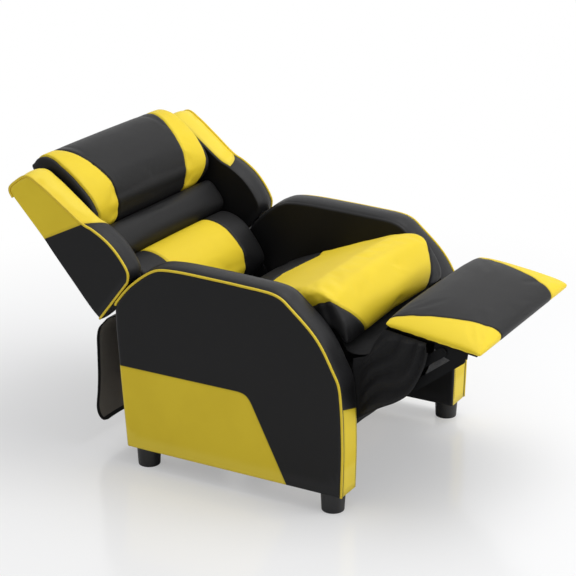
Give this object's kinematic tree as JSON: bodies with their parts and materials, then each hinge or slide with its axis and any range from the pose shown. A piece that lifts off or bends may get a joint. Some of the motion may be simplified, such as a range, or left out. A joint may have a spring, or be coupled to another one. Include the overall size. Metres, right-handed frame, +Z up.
{
  "type": "push-back recliner",
  "caption": "Push-back gaming recliner in black and yellow leatherette, fully reclined with its footrest out.",
  "frame": {"origin": "centre of the bounding box at the floor", "axes": "+Z up, the sitter faces -Y, +X to the sitter's left"},
  "size_m": [0.7408, 1.2352, 0.7487],
  "materials": {
    "black_leather": "satin, fine grain",
    "yellow_leather": "satin, fine grain",
    "black_plastic": "semi-matt moulded",
    "black_cloth": "matt woven",
    "brown_cloth": "matt non-woven",
    "frame_wood": "raw plywood",
    "painted_steel": "black painted",
    "bright_steel": "zinc plated",
    "elastic_webbing": "woven elastic"
  },
  "bodies": {
    "base": {"arm_frame_left": "frame_wood", "arm_frame_right": "frame_wood", "arm_cover_left": "black_leather", "arm_cover_right": "black_leather", "arm_side_panel_left": "yellow_leather", "arm_side_panel_right": "yellow_leather", "arm_front_panel_left": "yellow_leather", "arm_front_panel_right": "yellow_leather", "arm_piping_left": "yellow_leather", "arm_piping_right": "yellow_leather", "leg_front_left": "black_plastic", "leg_front_right": "black_plastic", "leg_rear_left": "black_plastic", "leg_rear_right": "black_plastic", "base_plate_left": "painted_steel", "base_plate_right": "painted_steel", "plate_bolt_front_left": "bright_steel", "plate_bolt_front_right": "bright_steel", "plate_bolt_rear_left": "bright_steel", "plate_bolt_rear_right": "bright_steel", "front_rail": "frame_wood", "rear_rail": "frame_wood", "front_drape": "black_cloth"},
    "seat": {"seat_plate_left": "painted_steel", "seat_plate_right": "painted_steel", "seat_frame": "frame_wood", "seat_springs": "bright_steel", "seat_cushion": "yellow_leather", "cross_tube": "painted_steel", "footrest_sling": "black_cloth"},
    "footrest": {"footrest_bracket_left": "painted_steel", "footrest_bracket_right": "painted_steel", "footrest_board": "frame_wood", "footrest_pad": "black_leather"},
    "backrest": {"back_bracket_left": "painted_steel", "back_bracket_right": "painted_steel", "back_frame": "frame_wood", "back_webbing": "elastic_webbing", "back_cover": "black_leather", "headrest_roll": "black_leather", "middle_pad": "black_leather", "lumbar_roll": "yellow_leather", "wing_left": "black_leather", "wing_right": "black_leather", "wing_piping_left": "yellow_leather", "wing_piping_right": "yellow_leather"},
    "flap": {"back_flap": "brown_cloth"},
    "swing_link_rear_left": {"swing_link_rear_left": "painted_steel"},
    "swing_link_rear_right": {"swing_link_rear_right": "painted_steel"},
    "swing_link_front_left": {"swing_link_front_left": "painted_steel"},
    "swing_link_front_right": {"swing_link_front_right": "painted_steel"},
    "rear_link_left": {"rear_link_left": "painted_steel"},
    "rear_link_right": {"rear_link_right": "painted_steel"},
    "front_link_left": {"front_link_left": "painted_steel"},
    "front_link_right": {"front_link_right": "painted_steel"},
    "lower_guide_left": {"lower_guide_left": "painted_steel"},
    "lower_guide_right": {"lower_guide_right": "painted_steel"},
    "upper_guide_left": {"upper_guide_left": "painted_steel"},
    "upper_guide_right": {"upper_guide_right": "painted_steel"}
  },
  "joints": [
    {"name": "seat_swing", "type": "hinge", "parent": "base", "child": "swing_link_rear_left", "pos_m": [0.265, 0.17264, 0.16], "axis": [-1, 0, 0], "range_deg": [0, 52], "deforming": ["front_drape"]},
    {"name": "swing_rear_right", "type": "hinge", "parent": "base", "child": "swing_link_rear_right", "pos_m": [-0.265, 0.17264, 0.16], "axis": [-1, 0, 0], "range_deg": [0, 52.01]},
    {"name": "swing_front_left", "type": "hinge", "parent": "base", "child": "swing_link_front_left", "pos_m": [0.265, -0.07516, 0.1285], "axis": [-1, 0, 0], "range_deg": [0, 52.74]},
    {"name": "swing_front_right", "type": "hinge", "parent": "base", "child": "swing_link_front_right", "pos_m": [-0.265, -0.07516, 0.1285], "axis": [-1, 0, 0], "range_deg": [0, 52.74]},
    {"name": "seat_tilt", "type": "hinge", "parent": "swing_link_rear_left", "child": "seat", "pos_m": [0.26, 0.12003, 0.26786], "axis": [1, 0, 0], "range_deg": [0, 64.01]},
    {"name": "back_recline", "type": "hinge", "parent": "seat", "child": "backrest", "pos_m": [0, 0.26264, 0.34], "axis": [1, 0, 0], "range_deg": [0, 23.01]},
    {"name": "flap_hang", "type": "hinge", "parent": "backrest", "child": "flap", "pos_m": [0, 0.35897, 0.36209], "axis": [1, 0, 0], "range_deg": [-35.01, 0]},
    {"name": "footrest_fold", "type": "hinge", "parent": "seat", "child": "rear_link_left", "pos_m": [0.2465, -0.20636, 0.3495], "axis": [1, 0, 0], "range_deg": [0, 74.6], "deforming": ["front_drape", "footrest_sling"]},
    {"name": "rear_link_right_turn", "type": "hinge", "parent": "seat", "child": "rear_link_right", "pos_m": [-0.2465, -0.20636, 0.3495], "axis": [1, 0, 0], "range_deg": [0, 74.61]},
    {"name": "front_link_left_turn", "type": "hinge", "parent": "rear_link_left", "child": "front_link_left", "pos_m": [0.251, -0.34705, 0.29746], "axis": [1, 0, 0], "range_deg": [-91.92, 0]},
    {"name": "front_link_right_turn", "type": "hinge", "parent": "rear_link_right", "child": "front_link_right", "pos_m": [-0.251, -0.34705, 0.29746], "axis": [1, 0, 0], "range_deg": [-91.92, 0]},
    {"name": "footrest_turn", "type": "hinge", "parent": "front_link_left", "child": "footrest", "pos_m": [0.251, -0.51341, 0.42396], "axis": [1, 0, 0], "range_deg": [0, 88.31]},
    {"name": "lower_guide_left_turn", "type": "hinge", "parent": "seat", "child": "lower_guide_left", "pos_m": [0.2555, -0.18286, 0.317], "axis": [1, 0, 0], "range_deg": [0, 77.3]},
    {"name": "upper_guide_left_turn", "type": "hinge", "parent": "rear_link_left", "child": "upper_guide_left", "pos_m": [0.242, -0.38878, 0.28202], "axis": [1, 0, 0], "range_deg": [-90.12, 0]},
    {"name": "lower_guide_right_turn", "type": "hinge", "parent": "seat", "child": "lower_guide_right", "pos_m": [-0.2555, -0.18286, 0.317], "axis": [1, 0, 0], "range_deg": [0, 77.3]},
    {"name": "upper_guide_right_turn", "type": "hinge", "parent": "rear_link_right", "child": "upper_guide_right", "pos_m": [-0.242, -0.38878, 0.28202], "axis": [1, 0, 0], "range_deg": [-90.12, 0]}
  ],
  "couplings": [
    {"joint": "swing_rear_right", "follows": "seat_swing", "ratio": 1},
    {"joint": "swing_front_left", "follows": "seat_swing", "ratio": 1.014},
    {"joint": "swing_front_right", "follows": "seat_swing", "ratio": 1.014},
    {"joint": "seat_tilt", "follows": "seat_swing", "ratio": 1.2308},
    {"joint": "back_recline", "follows": "seat_swing", "ratio": 0.44231},
    {"joint": "flap_hang", "follows": "seat_swing", "ratio": -0.67308},
    {"joint": "rear_link_right_turn", "follows": "footrest_fold", "ratio": 1},
    {"joint": "front_link_left_turn", "follows": "footrest_fold", "ratio": -1.232},
    {"joint": "front_link_right_turn", "follows": "footrest_fold", "ratio": -1.232},
    {"joint": "footrest_turn", "follows": "footrest_fold", "ratio": 1.1836},
    {"joint": "lower_guide_left_turn", "follows": "footrest_fold", "ratio": 1.036},
    {"joint": "upper_guide_left_turn", "follows": "footrest_fold", "ratio": -1.2078},
    {"joint": "lower_guide_right_turn", "follows": "footrest_fold", "ratio": 1.036},
    {"joint": "upper_guide_right_turn", "follows": "footrest_fold", "ratio": -1.2078}
  ]
}
